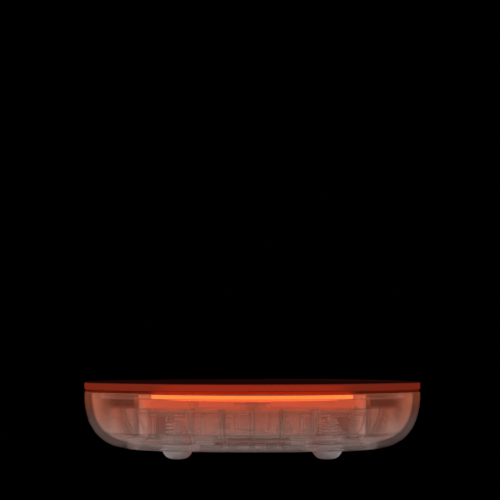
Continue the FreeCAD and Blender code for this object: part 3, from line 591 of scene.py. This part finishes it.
def warming_plate_finish():
    bench = Bench("plate_glass")
    grain = bench.grained(paint(91, 28, 17), paint(84, 25, 15), 0.18, 0.3, scale=300.0,
                          depth=0.000002)
    split = split_axes(bench.tree, bench.place)
    facing = bench.facing()
    top = spread(bench.tree, split.outputs["Z"], top_starts, top_full, 0.0, 1.0)
    along = spread(bench.tree, facing, 0.6, 0.95, 0.0, 1.0)
    # Painted reflection: the top's colour turns nearly black where it is seen along its surface.
    top_with_dark_reflection = blend_colours(bench.tree, along, grain.outputs["Color"], paint(24, 5, 4))
    bench.feed("Base Color", blend_colours(bench.tree, top, paint(112, 34, 19), top_with_dark_reflection))
    # Painted glow: the heater's light through the plate is painted on as the plate's own light,
    # over the disc and through the edge.
    over_disc = spread(bench.tree, distance_from_axis(bench.tree, split), disc_edge_start,
                       disc_edge_end, 1.0, 0.0)
    seen_down = math_node(bench.tree, "SUBTRACT", 1.0, along)
    disc_seen = math_node(bench.tree, "MULTIPLY", over_disc, seen_down)
    from_above = math_node(bench.tree, "MULTIPLY", disc_seen, top)
    side = math_node(bench.tree, "SUBTRACT", 1.0, top)
    disc_behind = spread(bench.tree, facing, 0.11, 0.21, 1.0, 0.0)
    through_edge = math_node(bench.tree, "MULTIPLY", disc_behind, side)
    glow = math_node(bench.tree, "MAXIMUM", from_above, through_edge)
    bench.feed("Emission Color", blend_colours(bench.tree, glow, black, paint(190, 24, 6)))
    bench.set(Emission_Strength=0.24, IOR=1.52, Specular_IOR_Level=0.0)


warming_plate_finish()
print("plate ready")


# %% [markdown]
# ### Heated stack
#
# The ceramic disc is the brightest thing on the object. It glows evenly, a touch weaker in
# the middle where the sensor touches it. The printed track under it, the spreader and the
# soft rings take their colour from that light, which is painted on each of them as a glow of
# its own. The seal's glow is painted where the disc lies straight behind it.

# %% Heater, track, spreader, seals
sensor_spot = 0.004
sensor_spot_end = 0.012


def heater_finish():
    bench = Bench("heater_ceramic")
    bench.grained(paint(226, 82, 28), paint(216, 70, 20), 0.5, 0.7, scale=500.0)
    reach = distance_from_axis(bench.tree, split_axes(bench.tree, bench.place))
    outside = spread(bench.tree, reach, sensor_spot, sensor_spot_end, 0.0, 1.0)
    bench.feed("Emission Color", blend_colours(bench.tree, outside, paint(240, 96, 36),
                                               paint(255, 98, 22)))
    bench.set(Emission_Strength=2.6)


heater_finish()

# Painted heater light: the track, spreader, pad and gasket each get a glow of their own.
track = Bench("track_metal")
track.grained(paint(255, 150, 70), paint(236, 118, 48), 0.35, 0.5, scale=1500.0)
track.set(Metallic=0.6, Emission_Color=paint(255, 110, 40), Emission_Strength=1.1)

spreader = Bench("spreader_metal")
spreader.grained(paint(220, 150, 120), paint(196, 120, 92), 0.3, 0.42, scale=1600.0)
spreader.set(Metallic=0.9, Emission_Color=paint(200, 70, 28), Emission_Strength=0.35)

pad = Bench("pad_fibre")
pad.grained(paint(140, 108, 94), paint(124, 94, 80), 0.75, 0.95, scale=1800.0, depth=0.00006)
pad.set(Emission_Color=paint(200, 72, 30), Emission_Strength=0.06, Alpha=0.5)

gasket = Bench("gasket_silicone")
gasket.grained(paint(150, 62, 42), paint(132, 50, 32), 0.45, 0.6, scale=1100.0, depth=0.00002)
gasket.set(Emission_Color=paint(200, 60, 24), Emission_Strength=0.15)

seal = Bench("seal_rubber")
seal.grained(paint(92, 24, 8), paint(78, 18, 6), 0.55, 0.72, scale=1400.0, depth=0.00001)
# Painted glow: the seal glows red where the disc lies straight behind it.
disc_behind_seal = spread(seal.tree, seal.facing(), 0.17, 0.23, 1.0, 0.0)
seal.feed("Emission Color", blend_colours(seal.tree, disc_behind_seal, black, paint(255, 44, 6)))
seal.set(Emission_Strength=0.3, Specular_IOR_Level=0.0)
print("heated stack ready")


# %% [markdown]
# ### Feet
#
# The feet are cast clear silicone: soft, milky, with a dusty skin that kills the sharp
# highlight. Their sheen is what tells silicone from glass.

# %% Silicone feet
foot = Bench("foot_silicone")
foot.grained(paint(224, 222, 222), paint(208, 206, 206), 0.3, 0.45, scale=600.0, depth=0.000008)
foot.set(IOR=1.41, Sheen_Weight=0.25, Sheen_Roughness=0.4)
foot.feed("Alpha", spread(foot.tree, foot.facing(), 0.2, 0.9, 0.6, 0.95))
print("feet ready")


# %% [markdown]
# ### Metals
#
# The springs are drawn wire, the screws are zinc plated, the clips are sheet. All the metals
# share one recipe of a metallic shader with grain, and are told apart by tone and gloss. They
# are only a little metallic and let some light through, as they look in an X-ray.

# %% Springs, screws, clips and contacts
def metal(name, light, dark, smoothest, roughest, solidity=0.8):
    bench = Bench(name)
    bench.grained(light, dark, smoothest, roughest, scale=1500.0, depth=0.000006)
    bench.set(Metallic=0.25, Alpha=solidity)


metal("spring_steel", paint(222, 206, 198), paint(196, 180, 172), 0.22, 0.36, solidity=0.4)
metal("screw_steel", paint(196, 190, 186), paint(160, 152, 148), 0.28, 0.42)
metal("sensor_steel", paint(190, 160, 148), paint(168, 140, 128), 0.2, 0.32, solidity=0.5)
metal("terminal_brass", paint(214, 178, 118), paint(176, 136, 78), 0.24, 0.4)
metal("fuse_metal", paint(168, 134, 120), paint(150, 118, 104), 0.16, 0.28, solidity=0.4)
metal("solder", paint(206, 206, 208), paint(174, 174, 178), 0.18, 0.34)
print("metals ready")


# %% [markdown]
# ### Circuit board and its parts
#
# The board's lacquer shows copper tracks as slightly raised, paler lanes. A brick pattern
# with long thin bricks gives lanes that turn and stop, which is all that shows through the
# casing. The parts on it are plain moulded plastics, told apart by tone and gloss. They are
# paler than real ones and see-through, so that what stands behind them shows too.

# %% Board lacquer
def board_finish():
    bench = Bench("board_laminate")
    grain = bench.grained(paint(150, 142, 130), paint(128, 120, 108), 0.28, 0.42, scale=1600.0)
    lanes = bench.tree.nodes.new("ShaderNodeTexBrick")
    lanes.offset = 0.37
    lanes.inputs["Scale"].default_value = 130.0
    lanes.inputs["Mortar Size"].default_value = 0.045
    lanes.inputs["Mortar Smooth"].default_value = 0.2
    lanes.inputs["Brick Width"].default_value = 1.4
    lanes.inputs["Row Height"].default_value = 0.28
    bench.tree.links.new(bench.place, lanes.inputs["Vector"])
    copper = spread(bench.tree, lanes.outputs["Fac"], 0.2, 0.8, 0.0, 1.0)
    bench.feed("Base Color", blend_colours(bench.tree, copper, grain.outputs["Color"],
                                           paint(170, 156, 130)))
    bench.set(Coat_Weight=0.35, Coat_Roughness=0.2, Alpha=0.55)
    bench.relief(copper, 0.00003)


board_finish()


# %% Moulded parts and insulated wire
def moulded(name, light, dark, smoothest, roughest, depth=0.000015, solidity=0.35):
    bench = Bench(name)
    bench.grained(light, dark, smoothest, roughest, scale=1300.0, depth=depth)
    bench.set(Alpha=solidity)


moulded("chip_black", paint(136, 112, 104), paint(118, 98, 92), 0.45, 0.6)
moulded("capacitor_sleeve", paint(146, 122, 115), paint(126, 106, 100), 0.25, 0.35)
moulded("ferrite", paint(150, 126, 117), paint(128, 108, 100), 0.6, 0.8, depth=0.00004)
moulded("block_plastic", paint(178, 150, 138), paint(158, 132, 121), 0.35, 0.48)
moulded("switch_plastic", paint(142, 121, 114), paint(124, 106, 100), 0.35, 0.5)
moulded("button_plastic", paint(190, 172, 162), paint(168, 150, 141), 0.35, 0.45)
moulded("lead_silicone", paint(176, 92, 70), paint(150, 74, 54), 0.4, 0.55)
moulded("holder_plastic", paint(120, 62, 46), paint(98, 48, 36), 0.4, 0.55, solidity=0.45)
moulded("inlet_plastic", paint(96, 84, 79), paint(82, 72, 68), 0.3, 0.42, solidity=0.8)
moulded("jack_plastic", paint(98, 82, 76), paint(82, 70, 65), 0.45, 0.6)
print("finishes", len(finishes))


# %% [markdown]
# ### Dressing the solids
#
# The record names a finish for each solid. Reading it from there, rather than from a list
# written out here, leaves no solid without its finish and needs no second list.

# %% Dress the frame's solids
slot_of = {part["node"]: part["material_slot"] for part in frame["record"]["subparts"]}
for node, solid in frame["nodes"].items():
    finish = finishes[slot_of[node]]
    if solid.material_slots:
        for held in solid.material_slots:
            held.material = finish
    else:
        solid.data.materials.append(finish)
print("dressed", len(slot_of), "nodes")


# %% [markdown]
# ## Small added pieces
#
# The frame carries every part that moves, fits or carries load. What is left are things that
# a bench worker would add last: solder on the board's pads, the tinned legs of the switch,
# and crimped sleeves where the heater wires meet their tabs. All of them sit on the base body.

# %% Piece helper
join_distance = 1e-7


def finish_piece(name, form, finish, body):
    bmesh.ops.remove_doubles(form, verts=form.verts, dist=join_distance)
    bmesh.ops.recalc_face_normals(form, faces=form.faces)
    mesh = bpy.data.meshes.new(name)
    form.to_mesh(mesh)
    form.free()
    mesh.materials.append(finishes[finish])
    piece = bpy.data.objects.new(name, mesh)
    bpy.context.collection.objects.link(piece)
    shading = piece.modifiers.new("smooth_by_angle", "NODES")
    shading.node_group = smoothing
    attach(piece, body)
    print(name, "faces", len(mesh.polygons))


base_body = next(body for body, nodes in frame["record"]["behaviour"]["bodies"].items()
                 if "lower_shell" in nodes)


# %% [markdown]
# ### Solder
#
# A solder joint is a low shiny cone with a hollow flank. Its half outline is spun round the
# pin, which gives that flank directly. A squashed ball would bulge where solder draws in.

# %% Solder cones on the board
cone_size = 0.0011
block_pin_inset = 0.002
block_pin_reach = 0.0011
header_pin_inset = 0.0012
header_pin_reach = 0.0010
inlet_pin_spread = 0.0022
inlet_pin_reach = 0.0009
# Each point of the half outline is a radius and a height, as shares of the cone's size.
solder_profile = ((0.75, 0.0), (0.5, 0.16), (0.34, 0.36), (0.26, 0.62), (0.0, 0.7))


def solder_cone(form):
    verts = [form.verts.new((cone_size * radius, 0.0, board_top + cone_size * height))
             for radius, height in solder_profile]
    edges = [form.edges.new(pair) for pair in zip(verts, verts[1:])]
    bmesh.ops.spin(form, geom=verts + edges, cent=(0.0, 0.0, 0.0), axis=(0.0, 0.0, 1.0),
                   angle=math.tau, steps=16, use_merge=True)


def cones_on_board(name, places):
    form = bmesh.new()
    for x, y in places:
        cone = bmesh.new()
        solder_cone(cone)
        bmesh.ops.remove_doubles(cone, verts=cone.verts, dist=join_distance)
        bmesh.ops.translate(cone, verts=cone.verts, vec=(x, y, 0.0))
        held = bpy.data.meshes.new("held")
        cone.to_mesh(held)
        cone.free()
        form.from_mesh(held)
        bpy.data.meshes.remove(held)
    finish_piece(name, form, "solder", base_body)


block_low, block_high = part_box("terminal_block")
header_low, header_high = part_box("sensor_header")
inlet_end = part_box("inlet_leads")[0][1]
pins = []
for y in (block_low[1] + block_pin_inset, (block_low[1] + block_high[1]) / 2,
          block_high[1] - block_pin_inset):
    pins.append((block_low[0] - block_pin_reach, y))
for x in (header_low[0] + header_pin_inset, header_high[0] - header_pin_inset):
    pins.append((x, header_low[1] - header_pin_reach))
for side in (-1, 1):
    pins.append((side * inlet_pin_spread, inlet_end - inlet_pin_reach))
cones_on_board("solder_joints", pins)


# %% [markdown]
# ### Legs of the switch
#
# The switch stands on four tinned legs that run down its sides and turn out flat on the
# board. Each leg is an upright strip and a flat toe, two stretched cubes whose edges are
# bevelled, as stamped sheet has no sharp edge. One strip bent at its corner would be closer
# to the real leg, but at this size the joint between the two doesn't show.

# %% Switch legs
leg_width = 0.0007
leg_sheet = 0.00025
leg_reach = 0.0011
leg_height = 0.0011
leg_inset = 0.0012
leg_round = 0.00006
switch_low, switch_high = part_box("gravity_switch")


def add_block(form, size, centre):
    verts = bmesh.ops.create_cube(form, size=1.0)["verts"]
    bmesh.ops.scale(form, verts=verts, vec=size)
    bmesh.ops.translate(form, verts=verts, vec=centre)


def add_leg(form, side_x, y):
    wall_x = switch_low[0] if side_x < 0 else switch_high[0]
    add_block(form, (leg_sheet, leg_width, leg_height),
              (wall_x + side_x * leg_sheet, y, board_top + leg_height / 2))
    add_block(form, (leg_reach, leg_width, leg_sheet),
              (wall_x + side_x * (leg_sheet + leg_reach / 2), y, board_top + leg_sheet / 2))


legs = bmesh.new()
for side_x in (-1, 1):
    for y in (switch_low[1] + leg_inset, switch_high[1] - leg_inset):
        add_leg(legs, side_x, y)
bmesh.ops.bevel(legs, geom=legs.edges[:], offset=leg_round, affect="EDGES", segments=2,
                profile=0.5, material=-1)
finish_piece("switch_legs", legs, "solder", base_body)


# %% [markdown]
# ### Crimped sleeves
#
# Each heater wire ends in a short sleeve that is squeezed onto it. A ring is extruded along
# the wire, drawn in at the middle where the pliers bit, and turned back inside as a blind bore.
# The sleeve is as short as the wire's straight stub, rides with the wire, and stops just
# short of the tab, which moves past it with the platform.

# %% Crimp sleeves on the terminals
lead_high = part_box("heater_leads")[1]
tab_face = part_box("heater_terminals")[1][0]
wire_radius = 0.0005
sleeve_radius = 0.00085
sleeve_length = 0.0008
tab_gap = 0.00005
# Each stop is a share of the sleeve's length and a share of its radius.
sleeve_stops = ((0.0, 1.0), (0.33, 0.82), (0.67, 0.82), (1.0, 1.0), (1.0, 0.73), (0.06, 0.73))


def sleeve(form, y):
    start_x = tab_face + tab_gap
    z = lead_high[2] - wire_radius
    turn = Matrix.Rotation(math.pi / 2, 4, "Y")
    first_ring = bmesh.ops.create_circle(form, segments=16, radius=sleeve_radius,
                                         matrix=Matrix.Translation((start_x, y, z)) @ turn)
    edges = list({edge for vert in first_ring["verts"] for edge in vert.link_edges})
    centre = Vector((0.0, y, z))
    for before, after in zip(sleeve_stops, sleeve_stops[1:]):
        pulled = bmesh.ops.extrude_edge_only(form, edges=edges)
        verts = [v for v in pulled["geom"] if isinstance(v, bmesh.types.BMVert)]
        edges = [e for e in pulled["geom"] if isinstance(e, bmesh.types.BMEdge)]
        step = sleeve_length * (after[0] - before[0])
        bmesh.ops.translate(form, verts=verts, vec=(step, 0.0, 0.0))
        factor = after[1] / before[1]
        bmesh.ops.scale(form, verts=verts, vec=(1.0, factor, factor),
                        space=Matrix.Translation(-centre))


sleeves = bmesh.new()
for side in (-1, 1):
    sleeve(sleeves, side * (lead_high[1] - wire_radius))
bmesh.ops.holes_fill(sleeves, edges=sleeves.edges[:])
finish_piece("crimp_sleeves", sleeves, "fuse_metal", base_body)
